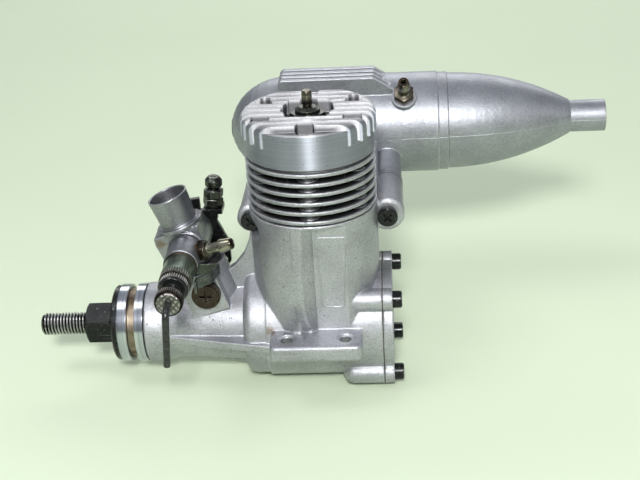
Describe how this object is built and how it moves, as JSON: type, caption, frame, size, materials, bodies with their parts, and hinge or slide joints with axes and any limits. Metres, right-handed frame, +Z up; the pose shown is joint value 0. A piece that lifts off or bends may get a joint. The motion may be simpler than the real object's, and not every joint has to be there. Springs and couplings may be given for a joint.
{
  "type": "model glow engine",
  "caption": "Small two-stroke glow engine with finned cylinder, ribbed head, front intake carburettor, needle valve and side exhaust muffler with a tapered outlet.",
  "frame": {"origin": "where the crank axis meets the cylinder axis, in the plane of the beam lugs' undersides and at the centre of their four holes", "axes": "+X along the crankshaft towards the rear cover, so the propeller end points along -X; +Y towards the muffler; +Z up the cylinder"},
  "size_m": [0.1631, 0.1008, 0.0825],
  "materials": {
    "cast_alloy": "fine shot-blasted casting, satin",
    "machined_alloy": "turned, semi-bright",
    "hub_alloy": "turned, with a tarnished groove",
    "bright_steel": "ground and polished",
    "dark_steel": "black oxide steel, semi-gloss",
    "nickel_steel": "nickel plated, slightly worn",
    "brown_steel": "brown tarnished screw",
    "brass": "turned brass, aged",
    "bronze": "bronze bush",
    "copper": "soft copper gasket",
    "liner_steel": "honed",
    "piston_alloy": "turned, oily",
    "rod_alloy": "forged and machined",
    "black_plastic": "knurled, satin black",
    "black_rubber": "seal",
    "gasket_fibre": "dark fibre",
    "muffler_alloy": "fine casting, satin"
  },
  "bodies": {
    "engine": {"crankcase": "cast_alloy", "front_bush": "bronze", "cylinder_liner": "liner_steel", "head_gasket": "copper", "cylinder_head": "machined_alloy", "head_screws": "nickel_steel", "glow_plug": "nickel_steel", "plug_washer": "copper", "plug_terminal": "brass", "rear_cover": "cast_alloy", "rear_cover_gasket": "gasket_fibre", "rear_cover_screws": "dark_steel", "carburettor_body": "cast_alloy", "carb_seal": "black_rubber", "carb_clamp_screw": "brown_steel", "needle_holder": "nickel_steel", "ratchet_spring": "bright_steel", "fuel_nipple": "brass", "nipple_washer": "copper", "muffler_front": "muffler_alloy", "muffler_cone": "muffler_alloy", "muffler_gasket": "gasket_fibre", "muffler_screws": "dark_steel", "pressure_nipple": "brass", "through_bolt": "nickel_steel", "through_bolt_washer": "copper"},
    "crank": {"crankshaft": "bright_steel", "drive_hub": "hub_alloy", "drive_key": "bright_steel", "prop_washer": "dark_steel", "prop_nut": "dark_steel"},
    "piston": {"piston": "piston_alloy", "wrist_pin": "bright_steel"},
    "rod": {"connecting_rod": "rod_alloy", "rod_bushes": "bronze", "crankpin": "bright_steel"},
    "throttle": {"throttle_barrel": "bright_steel", "throttle_lever": "dark_steel", "lever_nut": "nickel_steel", "idle_screw": "nickel_steel", "idle_lock_nut": "nickel_steel"},
    "needle": {"needle_valve": "black_plastic", "needle_wire": "nickel_steel"}
  },
  "joints": [
    {"name": "crank_spin", "type": "hinge", "parent": "engine", "child": "crank", "pos_m": [0, 0, 0], "axis": [1, 0, 0], "continuous": true},
    {"name": "piston_slide", "type": "slide", "parent": "engine", "child": "piston", "axis": [0, 0, 1], "range_m": [0, 0.016]},
    {"name": "rod_swing", "type": "hinge", "parent": "piston", "child": "rod", "pos_m": [0, 0, 0.021], "axis": [1, 0, 0], "range_deg": [-8, 8]},
    {"name": "throttle_turn", "type": "hinge", "parent": "engine", "child": "throttle", "pos_m": [-0.0348, 0, 0.0248], "axis": [0, -1, 0], "range_deg": [0, 70]},
    {"name": "needle_turn", "type": "hinge", "parent": "engine", "child": "needle", "pos_m": [-0.0348, 0, 0.0248], "axis": [0, 1, 0], "continuous": true}
  ]
}
